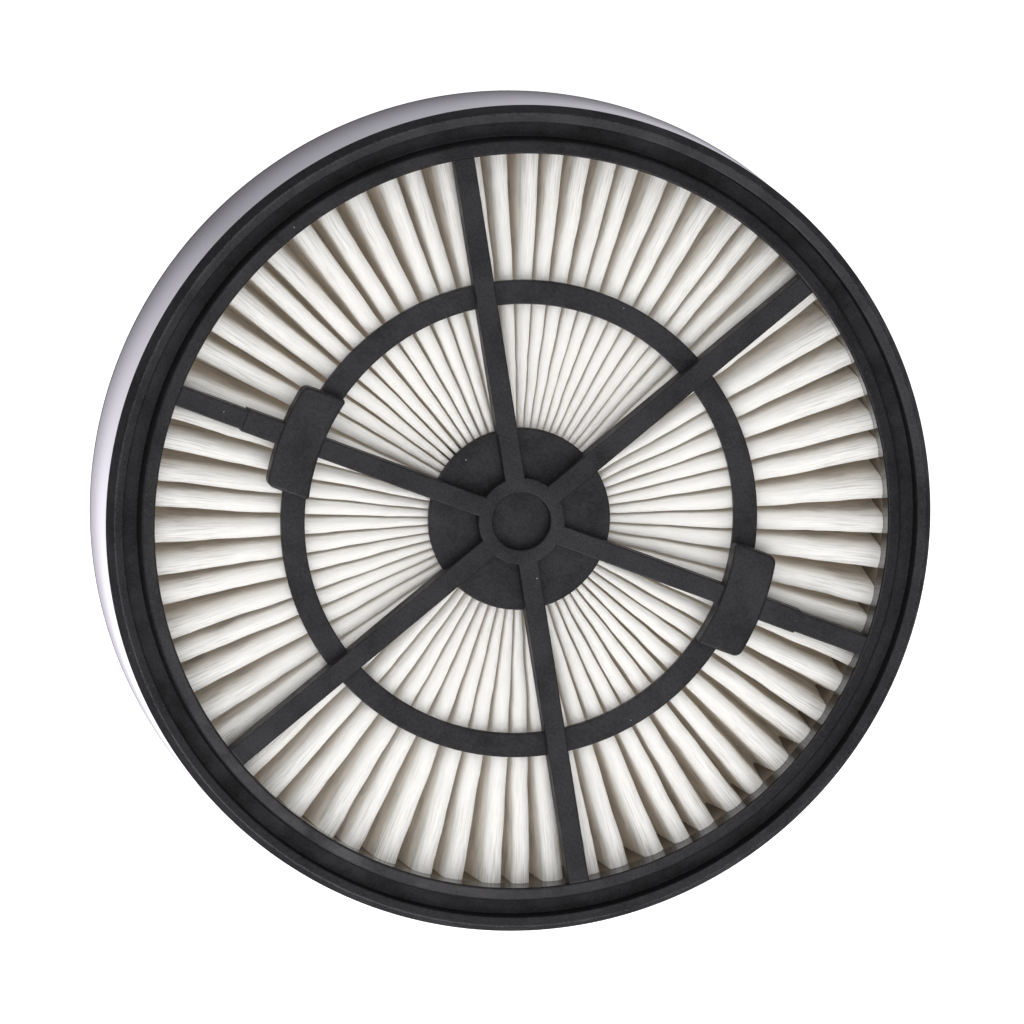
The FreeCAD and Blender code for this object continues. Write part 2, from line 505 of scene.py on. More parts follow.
@dataclass(frozen=True)
class MouldedPlastic:
    """Black moulded plastic: a fine spark-eroded grain, faint flow marks and specks of dust.

    The rim's plain walls are smoother, a paler ring along its lip's outer top edge is a painted
    highlight, and the wall inside the opening has glue on it where the pleats end, coloured dark
    brown as painted shade of the fold ends. The opening and the drum are given as radii.
    """

    opening: float
    drum: float
    drum_level: float
    dark_colour: Colour = (0.0008, 0.0008, 0.001)
    light_colour: Colour = (0.0135, 0.0129, 0.0155)
    tone_range: Pair = (0.8, 1.2)
    wall_tone: float = 0.5
    tint: Colour = (0.98, 0.95, 1.0)
    shine: float = 0.26
    roughness: float = 0.52
    roughness_spread: float = 0.16
    roughness_range: Pair = (0.3, 0.7)
    cloud: float = 9.09 * MM
    cloud_roughness: float = 0.65
    grain: float = 0.42 * MM
    grain_height: float = 0.05 * MM
    speck_colour: Colour = (0.4, 0.4, 0.42)
    speck_spacing: float = 2.0 * MM
    speck_size: float = 0.13 * MM
    speck_share: float = 0.28
    speck_edge: float = 0.012
    # Painted highlight: a paler ring along the lip's outer top edge, broken up by the grain, stands in for
    # light caught on that rounded edge.
    lip_highlight_colour: Colour = (0.05, 0.05, 0.055)
    lip_highlight_radius: float = 68.85 * MM
    lip_highlight_width: float = 0.25 * MM
    lip_highlight_level: float = 23.4 * MM
    lip_highlight_range: Pair = (0.8, 1.3)
    wall_roughness: float = 0.1
    wall_edge: float = 0.1 * MM
    foot_roughness: float = 0.38
    foot_top: float = 17.0 * MM
    back_edge: float = 0.8 * MM
    back_roughness: float = 0.95
    # Glue film on the wall inside the opening, below the pleats' crests. Its dark brown is painted shade:
    # it stands in for the shade down in the fold ends, which the wall shows between.
    glue_shade_colour: Colour = (0.15, 0.125, 0.1)
    seal_roughness: float = 0.6
    seal_level: float = 19.3 * MM
    seal_fade: float = 0.5 * MM

    def build(self, name: str) -> Material:
        """Makes the material.

        Args:
            name: Its name.

        Returns:
            The material.
        """
        material, graph, place = start_material(name)
        cloud = graph.noise(place, 1 / self.cloud, detail=6.0, roughness=self.cloud_roughness)
        grain = graph.noise(place, 1 / self.grain, detail=3.0)
        x, y, z = graph.parts(place)
        radius = graph.reach(x, y)
        inside, drum = self.walls(graph, radius, z)
        wall = inside + drum
        glue_and_shade = inside * graph.ramp(z, self.seal_level - self.seal_fade, self.seal_level, 1.0, 0.0)

        shade = graph.blend(wall, graph.ramp(grain + cloud, *self.tone_range), self.wall_tone)
        tone = graph.mix(shade, self.dark_colour, self.light_colour)
        tone = graph.mix(self.specks(graph, place), tone, self.speck_colour)
        # Painted highlight along the lip's outer top edge, broken up by the grain.
        lip_highlight = self.lip_highlight(graph, radius, z) * graph.ramp(grain + cloud, *self.lip_highlight_range)
        tone = graph.mix(lip_highlight, tone, self.lip_highlight_colour)
        # Painted shade: the glue film on the opening's wall takes the dark brown of the shaded fold ends.
        tone = graph.mix(glue_and_shade, tone, self.glue_shade_colour)

        rough = graph.ramp(cloud, *self.roughness_range, self.roughness + self.roughness_spread,
                           self.roughness - self.roughness_spread)
        back = graph.ramp(z, 2 * self.back_edge, self.back_edge)
        rough = graph.blend(back, rough, self.back_roughness)
        satin = graph.ramp(z, 0.0, self.foot_top, self.foot_roughness, self.wall_roughness)
        rough = graph.blend(glue_and_shade, graph.blend(wall, rough, satin), self.seal_roughness)
        bump = graph.node("ShaderNodeBump", {"Height": grain * (1.0 - wall), "Distance": self.grain_height})
        finish_material(graph, {"Base Color": tone, "Roughness": rough, "Specular IOR Level": self.shine,
                                "Specular Tint": (*self.tint, 1), "Normal": bump.outputs[0]})
        return material

    def specks(self, graph: Graph, place: NodeSocket) -> Term:
        """Specks of dust, in a few of the cells of a pattern.

        Args:
            graph: The material's graph.
            place: The socket of Object coordinates.

        Returns:
            1 on a speck and 0 elsewhere.
        """
        cells = graph.node("ShaderNodeTexVoronoi", {"Vector": place, "Scale": 1 / self.speck_spacing})
        chance = graph.term(graph.node("ShaderNodeSeparateColor", {0: cells.outputs["Color"]}), 0)
        size = graph.ramp(chance, 1.0 - self.speck_share, 1.0, 0.0, self.speck_size / self.speck_spacing)
        return graph.ramp(graph.term(cells, "Distance") - size, 0.0, -self.speck_edge)

    def lip_highlight(self, graph: Graph, radius: Term, z: Term) -> Term:
        """The ring round the lip's outer top edge where a highlight is painted.

        Args:
            graph: The material's graph.
            radius: The distance from the axis.
            z: The level.

        Returns:
            1 on the ring and 0 elsewhere.
        """
        off = graph.math("ABSOLUTE", radius - self.lip_highlight_radius)
        above = graph.ramp(z, self.lip_highlight_level, self.lip_highlight_level + self.lip_highlight_width)
        return graph.ramp(off, self.lip_highlight_width, 0.0) * above

    def walls(self, graph: Graph, radius: Term, z: Term) -> Tuple[Term, Term]:
        """Where the rim's plain walls are.

        Args:
            graph: The material's graph.
            radius: The distance from the axis.
            z: The level.

        Returns:
            1 on the wall inside the opening, and 1 on the drum's outside; both are 0 elsewhere.
        """
        edge = self.wall_edge
        inside = graph.ramp(radius, self.opening - 2 * edge, self.opening - edge)
        inside = inside * graph.ramp(radius, self.opening + edge, self.opening + 2 * edge, 1.0, 0.0)
        drum = graph.ramp(radius, self.drum - 2 * edge, self.drum - edge)
        drum = drum * graph.ramp(z, self.drum_level, self.drum_level + edge, 1.0, 0.0)
        return inside, drum * graph.ramp(z, self.back_edge, 2 * self.back_edge)


@dataclass(frozen=True)
class Strands:
    """Noise drawn out along the fibres of the sheet, which lie aslant of its folds.

    The length is in widths.
    """

    width: float
    length: float
    detail: float
    dark_range: Pair
    depth: float
    slant_degrees: float = 17.0
    warp: float = 0.4

    def value(self, graph: Graph, flat: NodeSocket) -> Term:
        """The noise itself.

        Args:
            graph: The material's graph.
            flat: The socket of the sheet's flat coordinates.

        Returns:
            The noise's value.
        """
        lean = graph.node("ShaderNodeMapping", {
            "Vector": flat, "Rotation": (0, 0, math.radians(self.slant_degrees)),
            "Scale": (1 / self.width, 1 / (self.width * self.length), 1)})
        return graph.noise(lean.outputs[0], 1.0, self.detail, distortion=self.warp)


@dataclass(frozen=True)
class FibreSheet:
    """Off-white fibrous filter sheet, browner down in its folds as painted shade, and dirtier towards its
    outer edge.
    """

    crest_colour: Colour = (0.9, 0.89, 0.87)
    # Painted shade: the sheet turns this browner colour from the crests down into the folds, standing in
    # for the light that the folds lose.
    fold_shade_colour: Colour = (0.88, 0.83, 0.77)
    crest_level: float = 20.3 * MM
    fold_level: float = 8.0 * MM
    dirt_colour: Colour = (0.48, 0.46, 0.44)
    fibres: Strands = Strands(width=0.28 * MM, length=12, detail=4.0, dark_range=(0.45, 0.75), depth=0.28)
    streaks: Strands = Strands(width=0.9 * MM, length=8, detail=2.0, dark_range=(0.48, 0.68), depth=0.55)
    streaks_from: float = 42 * MM
    streaks_to: float = 60 * MM
    streaks_least: float = 0.15
    mottle: float = 6.25 * MM
    mottle_range: Pair = (0.5, 0.75)
    mottle_depth: float = 0.12
    clean_to: float = 30 * MM
    clean_least: float = 0.25
    fibre_height: float = 0.08 * MM
    roughness: float = 0.9
    shine: float = 0.2

    def build(self, name: str) -> Material:
        """Makes the material.

        Args:
            name: Its name.

        Returns:
            The material.
        """
        material, graph, place = start_material(name)
        level = graph.parts(place)[2]
        # Painted shade: 0 at the crests and 1 down in the folds, where the colour turns browner.
        depth = graph.ramp(level, self.crest_level, self.fold_level, smooth=True)
        flat = graph.node("ShaderNodeUVMap", uv_map="flat").outputs[0]
        out = graph.parts(flat)[1]
        fibres, streaks = self.fibres.value(graph, flat), self.streaks.value(graph, flat)
        mottle = graph.noise(flat, 1 / self.mottle, detail=3.0)

        near_end = graph.ramp(out, self.streaks_from, self.streaks_to, self.streaks_least, smooth=True)
        worked = graph.ramp(out, self.clean_to, self.streaks_from, self.clean_least)
        dark = graph.ramp(streaks, *self.streaks.dark_range) * near_end * self.streaks.depth
        dark = dark + graph.ramp(fibres, *self.fibres.dark_range) * worked * self.fibres.depth
        dark = dark + graph.ramp(mottle, *self.mottle_range) * worked * self.mottle_depth
        tone = graph.mix(dark, graph.mix(depth, self.crest_colour, self.fold_shade_colour), self.dirt_colour)
        bump = graph.node("ShaderNodeBump", {"Height": 0.0 - fibres - streaks * near_end,
                                             "Distance": self.fibre_height})
        finish_material(graph, {"Base Color": tone, "Roughness": self.roughness,
                                "Specular IOR Level": self.shine, "Normal": bump.outputs[0]})
        return material


@dataclass(frozen=True)
class HotGlue:
    """Cloudy hot-melt glue, set with a soft skin."""

    colour: Colour = (0.66, 0.6, 0.46)
    cloudy_colour: Colour = (0.528, 0.48, 0.368)
    ripple: float = 3.5 * MM
    ripple_height: float = 0.25 * MM
    ripple_strength: float = 0.6
    ripple_range: Pair = (0.2, 0.8)
    roughness: Pair = (0.25, 0.45)

    def build(self, name: str) -> Material:
        """Makes the material.

        Args:
            name: Its name.

        Returns:
            The material.
        """
        material, graph, place = start_material(name)
        wave = graph.noise(place, 1 / self.ripple, detail=3.0)
        bump = graph.node("ShaderNodeBump", {"Height": wave, "Distance": self.ripple_height,
                                             "Strength": self.ripple_strength})
        finish_material(graph, {"Base Color": graph.mix(wave, self.colour, self.cloudy_colour),
                                "Roughness": graph.ramp(wave, *self.ripple_range, *self.roughness),
                                "Normal": bump.outputs[0]})
        return material


@dataclass(frozen=True)
class WhiteTable:
    """Plain white surface that the eye sees as white, apart from the filter's shadow.

    Glossy rays see a painted reflection of it instead, which the filter's wall mirrors: a cooler
    glow, painted dimmer right beside the wall as shade, darkest far off, and brightest on the side
    where the window is.
    """

    colour: Colour = (0.8, 0.8, 0.8)
    glow: float = 0.75
    # Painted reflection: the glow that glossy rays see, with painted shade at the wall's foot and a painted
    # window light on one side.
    painted_reflection_colour: Colour = (0.93, 0.9, 1.0)
    painted_reflection_foot: float = 0.6
    painted_reflection_near: float = 1.12
    painted_reflection_far: float = 0.14
    foot: Pair = (70.0 * MM, 74.0 * MM)
    far: Pair = (77.0 * MM, 88.0 * MM)
    window_glow: float = 1.15
    window_azimuth_degrees: float = 216.0
    window_side: Pair = (0.5, 0.95)
    window_foot: Pair = (0.7, 0.95)

    def build(self, name: str) -> Material:
        """Makes the material.

        Args:
            name: Its name.

        Returns:
            The material.
        """
        material, graph, place = start_material(name)
        path = graph.node("ShaderNodeLightPath")
        matt = graph.node("ShaderNodeBsdfDiffuse", {"Color": (*self.colour, 1)})
        glow = graph.node("ShaderNodeEmission", {"Color": (1, 1, 1, 1),
                                                 "Strength": graph.term(path, "Is Camera Ray") * self.glow})
        both = graph.node("ShaderNodeAddShader", {0: matt.outputs[0], 1: glow.outputs[0]})
        # Painted reflection: glossy rays see this glow instead of the table.
        mirrored = graph.node("ShaderNodeEmission", {"Color": (*self.painted_reflection_colour, 1),
                                                     "Strength": self.mirrored(graph, place)})
        surface = graph.node("ShaderNodeMixShader", {0: graph.term(path, "Is Glossy Ray"),
                                                     1: both.outputs[0], 2: mirrored.outputs[0]})
        graph.node("ShaderNodeOutputMaterial", {"Surface": surface.outputs[0]})
        return material

    def mirrored(self, graph: Graph, place: NodeSocket) -> Term:
        """How bright the painted reflection of the table is, as glossy rays see it.

        Args:
            graph: The material's graph.
            place: The socket of Object coordinates.

        Returns:
            The strength of its glow.
        """
        x, y = graph.parts(place)[:2]
        radius = graph.reach(x, y)
        window = math.radians(self.window_azimuth_degrees)
        side = (x * math.cos(window) + y * math.sin(window)) / radius
        near = self.painted_reflection_near
        glow = graph.ramp(side, *self.window_side, near, near + self.window_glow)
        foot = graph.ramp(side, *self.window_foot, self.painted_reflection_foot)
        glow = glow * graph.ramp(radius, *self.foot, foot)
        return graph.blend(graph.ramp(radius, *self.far), glow, self.painted_reflection_far)


def start_material(name: str) -> Tuple[Material, Graph, NodeSocket]:
    """Starts a node material.

    Args:
        name: The material's name.

    Returns:
        The material, its graph, and the socket of Object coordinates.
    """
    material = bpy.data.materials.new(name)
    material.use_nodes = True
    graph = Graph(material.node_tree)
    place = graph.node("ShaderNodeTexCoord").outputs["Object"]
    return material, graph, place


def finish_material(graph: Graph, inputs: Dict) -> None:
    """Ends a material on one principled shader.

    Args:
        graph: The material's graph.
        inputs: The shader's inputs, by name.
    """
    shader = graph.node("ShaderNodeBsdfPrincipled", inputs)
    graph.node("ShaderNodeOutputMaterial", {"Surface": shader.outputs[0]})


@dataclass
class PleatedSheet:
    """The filter sheet: radial pleats, folded a little unevenly, in a closed ring."""

    sectors: Tuple[int, ...] = (11, 14, 12, 12, 11, 12)
    inner_radius: float = 14.6 * MM
    outer_radius: float = 62.12 * MM
    thickness: float = 0.4 * MM
    inner_fold: float = 0.25 * MM
    outer_valley: float = 0.35 * MM
    inner_ridge_share: float = 0.39
    outer_ridge_share: float = 0.52
    swell: float = 0.24
    wander: float = 0.13
    wander_steps: Pair = (2.4, 5.3)
    wander_second: float = 0.6
    wander_shift: float = 1.0
    waver: float = 0.16 * MM
    waver_length: float = 7 * MM
    sag: float = 0.35 * MM
    sag_steps: Pair = (7.3, 1.6)
    ridge_end: float = 0.5
    valley_start: float = 0.7
    columns_per_pleat: int = 24
    rows: int = 27
    merge: float = 0.001 * MM
    sharp_degrees: float = 60.0
    seed: float = 3.0
    area: float = 0.0

    def even_angle(self, tree: ShapeTree, counts: List[Term], index: Term) -> Term:
        """Angle of a ridge by its number, before any wander.

        Args:
            tree: The tree to write in.
            counts: The number of ridges in each sector.
            index: The ridge's number.

        Returns:
            The angle.
        """
        sector = TURN / len(counts)
        angle: Optional[Term] = None
        start: Operand = 0.0
        for count in counts:
            share = tree.ramp(index + 0.5, start, count + start, 0.0, sector)
            angle = share if angle is None else angle + share
            start = count + start
        return angle

    def ridge_angle(self, tree: ShapeTree, counts: List[Term], index: Term, along: Term,
                    wander: Term) -> Term:
        """Angle of a ridge at a share of the way out.

        Args:
            tree: The tree to write in.
            counts: The number of ridges in each sector.
            index: The ridge's number.
            along: 0 at the inner end and 1 at the outer end.
            wander: How far a ridge strays, as a share of its pitch.

        Returns:
            The angle.
        """
        even = self.even_angle(tree, counts, index)
        pitch = self.even_angle(tree, counts, index + 0.5) - self.even_angle(tree, counts, index - 0.5)
        first, second = ((index + 1) * step for step in self.wander_steps)
        second = tree.math("SINE", second + self.wander_shift)
        return even + along * wander * pitch * (tree.math("SINE", first) + second * self.wander_second)

    def inputs(self, tree: ShapeTree, low: float, high: float) -> Dict[str, Term]:
        """Gives the tree its named inputs.

        Args:
            tree: The tree to write in.
            low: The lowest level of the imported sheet.
            high: Its highest level.

        Returns:
            The inputs, by name.
        """
        sizes = {
            "Inner radius": self.inner_radius,
            "Outer radius": self.outer_radius,
            "Ridge level": high - self.thickness / 2,
            "Valley level": low + self.thickness / 2,
            "Inner fold radius": self.inner_fold,
            "Outer valley radius": self.outer_valley,
            "Inner ridge share of the gap": self.inner_ridge_share,
            "Outer ridge share of the gap": self.outer_ridge_share,
            "Swell of the ridge share": self.swell,
            "Wander": self.wander,
            "Waver": self.waver,
            "Sag": self.sag,
            "Seed": self.seed,
        }
        return {name: tree.size(name, value) for name, value in sizes.items()}

    def section(self, tree: ShapeTree, put: Dict[str, Term], ridge: Term, along: Term, half: Term,
                phase: Term) -> Tuple[Term, Term]:
        """A fold's section, from its rounded ridge down a straight side to its rounded valley.

        Args:
            tree: The tree to write in.
            put: The tree's inputs, by name.
            ridge: The ridge's number.
            along: 0 at the inner end and 1 at the outer end.
            half: How far the middle of the valley is from the ridge.
            phase: Where the point is: 0 on the ridge, and -1 or 1 in the valleys beside it.

        Returns:
            How far the point is from the ridge, and its level.
        """
        bottom = put["Valley level"]
        swollen = along * (1.0 - along) * (1.0 - along) * (1 / SWELL_PEAK)
        swollen = swollen * put["Swell of the ridge share"]
        share = tree.blend(along, put["Inner ridge share of the gap"], put["Outer ridge share of the gap"])
        crown = half * (share + swollen)
        root = tree.blend(along, put["Inner fold radius"], put["Outer valley radius"])
        by_ridge, by_length = self.sag_steps
        droop = tree.noise(tree.vector(ridge * by_ridge, along * by_length, put["Seed"]), 1.0, detail=1.0)
        crest = put["Ridge level"] - droop * put["Sag"]
        drop = crest - bottom - crown - root
        reach = tree.math("SQRT", half * half + drop * drop)
        lean = tree.math("ARCTAN2", half, drop) - tree.math("ARCSINE", (crown + root) / reach)
        bend = math.pi / 2 - lean

        off_crest = tree.math("ABSOLUTE", phase)
        over = tree.ramp(off_crest, 0.0, self.ridge_end) * bend
        under = tree.ramp(off_crest, self.valley_start, 1.0, 1.0, 0.0) * bend
        down = tree.ramp(off_crest, self.ridge_end, self.valley_start)
        crest_z = crest - crown * (1.0 - tree.math("COSINE", over))
        root_z = bottom + root * (1.0 - tree.math("COSINE", under))
        across = tree.blend(down, crown * tree.math("SINE", over), half - root * tree.math("SINE", under))
        return across, tree.blend(down, crest_z, root_z)

    def on_circle(self, tree: ShapeTree, angle: Term, radius: Term, level: Term) -> Term:
        """The place at an angle, a radius and a level, as a vector."""
        return tree.vector(tree.math("COSINE", angle) * radius, tree.math("SINE", angle) * radius, level)

    def build(self, material: Material) -> Object:
        """Makes the sheet.

        Args:
            material: Its material.

        Returns:
            The sheet, as one closed mesh.
        """
        low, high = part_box("pleated_media")
        tree = ShapeTree("Pleats")
        counts = [tree.size(f"Pleats in sector {i + 1}", float(n)) for i, n in enumerate(self.sectors)]
        put = self.inputs(tree, low.z, high.z)

        total = float(sum(self.sectors))
        columns = sum(self.sectors) * self.columns_per_pleat
        grid = tree.node("GeometryNodeMeshGrid", {"Size X": 1.0, "Size Y": 1.0, "Vertices X": columns + 1,
                                                  "Vertices Y": self.rows})
        x, y, _ = tree.parts(tree.node("GeometryNodeInputPosition").outputs[0])
        column = tree.math("ROUND", (x + 0.5) * columns)
        along = y + 0.5
        pleat = tree.math("FLOOR", (column + 0.5) / self.columns_per_pleat)
        phase = (column - pleat * self.columns_per_pleat) * (2 / self.columns_per_pleat) - 1.0
        ridge = pleat % total

        here = self.ridge_angle(tree, counts, ridge, along, put["Wander"])
        last = self.ridge_angle(tree, counts, (ridge - 1.0) % total, along, put["Wander"])
        coming = self.ridge_angle(tree, counts, (ridge + 1.0) % total, along, put["Wander"])
        radius = tree.blend(along, put["Inner radius"], put["Outer radius"])
        leading = tree.math("GREATER_THAN", phase, 0.0)
        half = tree.blend(leading, (here - last) % TURN, (coming - here) % TURN) * radius * 0.5
        across, level = self.section(tree, put, ridge, along, half, phase)

        slack = self.on_circle(tree, here, radius, level * 0.5)
        ripple = tree.noise(slack, 1 / self.waver_length, detail=2.0)
        stray = (ripple - 0.5) * put["Waver"] * (1 / NOISE_REACH)
        angle = here + (tree.math("SIGN", phase) * across + stray) / radius
        place = self.on_circle(tree, angle, radius, level)
        run = (pleat + (phase + 1.0) * 0.5) * (2 * (high.z - low.z))
        flat = tree.node("GeometryNodeStoreNamedAttribute",
                         {"Geometry": grid.outputs["Mesh"], "Name": "flat",
                          "Value": tree.vector(run, radius, 0.0)}, data_type="FLOAT2", domain="CORNER")
        moved = tree.node("GeometryNodeSetPosition", {"Geometry": flat.outputs[0], "Position": place})
        closed = tree.node("GeometryNodeMergeByDistance", {"Geometry": moved.outputs[0],
                                                           "Distance": self.merge})
        tree.close(closed.outputs[0], material)

        base = add_object("pleat_base", bpy.data.meshes.new("pleat_base"))
        sheet = tree.apply(base, "pleated_sheet")
        self.area = sum(face.area for face in sheet.data.polygons)
        self.thicken(sheet)
        smooth(sheet, self.sharp_degrees)
        return sheet

    def flat_size(self) -> Pair:
        """Width and length of the strip that the sheet is folded from, once it is built."""
        width = self.outer_radius - self.inner_radius
        return width, self.area / width

    def thicken(self, sheet: Object) -> None:
        """Gives the folded surface its real thickness, half to each side.

        Args:
            sheet: The object, whose mesh is changed.
        """
        work = bmesh.new()
        work.from_mesh(sheet.data)
        finish_mesh(work, sheet.data)
        wall = sheet.modifiers.new("Wall", "SOLIDIFY")
        wall.thickness = self.thickness
        wall.offset = 0
        wall.use_even_offset = False
        keep_result(sheet)


@dataclass
class Frame:
    """The black moulding: rim, spokes, mid ring, hub and finger tabs."""

    rim_radius: float = 70.0 * MM
    rim_height: float = 21.2 * MM
    rim_wall: float = 2.7 * MM
    lip_rise: float = 2.8 * MM
    lip_lean: float = 1.05 * MM
    lip_fall: float = 0.3 * MM
    groove_width: float = 2.8 * MM
    groove_depth: float = 3.5 * MM
    groove_web: float = 1.8 * MM
    bezel_wall: float = 2.35 * MM
    bezel_rise: float = 3.1 * MM
    bezel_slope: float = 0.9 * MM
    bezel_round: float = 0.9 * MM
    rim_round: float = 0.35 * MM
    back_round: float = 0.6 * MM
    spoke_count: int = 6
    spoke_width: float = 3.4 * MM
    spoke_depth: float = 4.2 * MM
    spoke_below_bezel: float = 0.4 * MM
    rib_round: float = 0.25 * MM
    hub_hole_radius: float = 4.9 * MM
    hub_ring_width: float = 2.45 * MM
    hub_plate_radius: float = 15.4 * MM
    mid_ring_radius: float = 36.4 * MM
    mid_ring_width: float = 4.0 * MM
    web_thickness: float = 1.4 * MM
    tab_count: int = 2
    tab_length: float = 18.0 * MM
    tab_reach: float = 7.35 * MM
    tab_rise: float = 0.7 * MM
    tab_plate: float = 3.2 * MM
    tab_corner: float = 1.35 * MM
    tab_inner_corner: float = 0.6 * MM
    tab_round: float = 0.5 * MM
    pad_reach: float = 6.4 * MM
    pad_rise: float = 0.3 * MM
    pad_extra_width: float = 0.5 * MM
    segments: int = 288
    arc_steps: int = 14
    round_steps: int = 5
    sharp_degrees: float = 40.0

    def __post_init__(self) -> None:
        """Works out the levels and radii that follow from the sizes."""
        self.groove_outer = self.rim_radius - self.rim_wall
        self.bezel_outer = self.groove_outer - self.groove_width
        self.opening = self.bezel_outer - self.bezel_wall
        self.lip_top = self.rim_height + self.lip_rise
        self.groove_floor = self.lip_top - self.lip_fall - self.groove_depth
        self.bezel_top = self.rim_height + self.bezel_rise + self.bezel_slope
        self.spoke_top = self.bezel_top - self.spoke_below_bezel
        self.spoke_bottom = self.spoke_top - self.spoke_depth
        self.web_top = self.spoke_bottom + self.web_thickness
        self.tab_top = self.spoke_top + self.tab_rise

    def rim(self) -> Mesh:
        """The double-walled rim with its lip, groove and bezel.

        Returns:
            The mesh.
        """
        rim_round, back = self.rim_round, self.back_round
        web = self.groove_floor - self.groove_web
        return lathe(rounded([
            (self.rim_radius, 0, back),
            (self.rim_radius, self.rim_height, rim_round),
            (self.rim_radius - self.lip_lean, self.lip_top, rim_round),
            (self.groove_outer, self.lip_top - self.lip_fall, rim_round),
            (self.groove_outer, self.groove_floor, rim_round),
            (self.bezel_outer, self.groove_floor, rim_round),
            (self.bezel_outer, self.rim_height + self.bezel_rise, self.bezel_round),
            (self.opening, self.bezel_top, rim_round),
            (self.opening, 0, back),
            (self.bezel_outer, 0, rim_round),
            (self.bezel_outer, web, rim_round),
            (self.groove_outer, web, rim_round),
            (self.groove_outer, 0, rim_round),
        ]), self.segments, Ring.CLOSED)

    def band(self, inner: float, outer: float, top: float) -> Mesh:
        """A flat ring on the spokes' lower level, with its top edges rounded.

        Args:
            inner: Its inner radius.
            outer: Its outer radius.
            top: The level of its top.

        Returns:
            The mesh.
        """
        edge, low = self.rib_round, self.spoke_bottom
        section = rounded([(inner, low, 0), (outer, low, 0), (outer, top, edge), (inner, top, edge)])
        return lathe(section, self.segments, Ring.CLOSED)

    def bar(self, start: float, end: float, width: float, top: float) -> Mesh:
        """A rib along +X with its long top edges rounded.

        Args:
            start: Where it starts on X.
            end: Where it ends on X.
            width: Its width.
            top: The level of its top.

        Returns:
            The mesh.
        """
        half, low = width / 2, self.spoke_bottom
        section = rounded([(-half, low, 0), (half, low, 0), (half, top, self.rib_round),
                           (-half, top, self.rib_round)])
        return stack([[(x, y, z) for y, z in section] for x in (start, end)])

    def arc(self, radius: float, reach: float) -> Outline:
        """Points on a circle about the axis, from -reach to reach on Y.

        Args:
            radius: The circle's radius.
            reach: How far the points go to each side of X.

        Returns:
            The points in plan, in the order of rising Y.
        """
        span = math.asin(reach / radius)
        turns = [span * (2 * k / self.arc_steps - 1) for k in range(self.arc_steps + 1)]
        return [(radius * math.cos(t), radius * math.sin(t)) for t in turns]

    def tab_outline(self, shrink: float) -> Outline:
        """A finger tab in plan, drawn in all round, with its corners rounded.

        Args:
            shrink: How far the outline is drawn in.

        Returns:
            The outline's points.
        """
        side, bend = self.tab_length / 2 - shrink, self.tab_corner - shrink
        outer = self.mid_ring_radius + self.tab_reach - shrink
        corner = math.sqrt(outer ** 2 - side ** 2)
        points = self.inner_edge(shrink)
        points.append((corner, -side, bend))
        points += [(x, y, 0.0) for x, y in self.arc(outer, side - self.tab_corner)]
        points.append((corner, side, bend))
        return rounded(points, self.round_steps)

    def inner_edge(self, shrink: float) -> List[Corner]:
        """A finger tab's edge over the mid ring, in the order of falling Y, with its corners' rounds.

        Args:
            shrink: How far the edge is drawn in.

        Returns:
            Points as (x, y, radius).
        """
        edge = self.arc(self.mid_ring_radius + shrink, self.tab_length / 2 - shrink)[::-1]
        bends = [0.0] * len(edge)
        bends[0] = bends[-1] = self.tab_inner_corner - shrink
        return [(x, y, bend) for (x, y), bend in zip(edge, bends)]

    def tab_plate_mesh(self) -> Mesh:
        """The plate that the finger pulls on, with its upper edge rounded.

        Returns:
            The mesh.
        """
        edge, ledge = self.tab_round, self.tab_top - self.tab_plate
        layers = [(0.0, ledge)]
        for k in range(self.round_steps + 1):
            turn = math.pi / 2 * k / self.round_steps
            layers.append((edge * (1 - math.cos(turn)), self.tab_top - edge * (1 - math.sin(turn))))
        return stack([[(x, y, level) for x, y in self.tab_outline(shrink)] for shrink, level in layers])

    def tab_stem(self) -> Mesh:
        """The curved wall that carries the plate, as wide as the mid ring.

        Returns:
            The mesh.
        """
        half, overlap = self.tab_length / 2, self.tab_plate / 2
        outer = self.arc(self.mid_ring_radius + self.mid_ring_width, half)
        plan = rounded(self.inner_edge(0.0) + [(x, y, 0.0) for x, y in outer], self.round_steps)
        levels = (self.spoke_bottom, self.tab_top - self.tab_plate + overlap)
        return stack([[(x, y, level) for x, y in plan] for level in levels])

    def around(self, name: str, mesh: Mesh, count: int,
               material: Material) -> Object:
        """Copies of a mesh, evenly turned about the axis.

        Args:
            name: The name of the result.
            mesh: What is copied.
            count: How many copies there are.
            material: Their material.

        Returns:
            One object that holds them all.
        """
        tree = ShapeTree("Round " + name)
        copies = tree.size("Copies", count, "NodeSocketInt")
        axis = tree.node("GeometryNodeMeshLine", {"Count": copies, "Offset": (0, 0, 0)})
        turn = tree.term(tree.node("GeometryNodeInputIndex")) * (TURN / count)
        placed = tree.node("GeometryNodeInstanceOnPoints", {
            "Points": axis.outputs[0], "Instance": tree.geometry(),
            "Rotation": tree.vector(0.0, 0.0, turn)})
        tree.close(placed.outputs[0], material)
        return tree.apply(add_object(name + "_base", mesh), name)

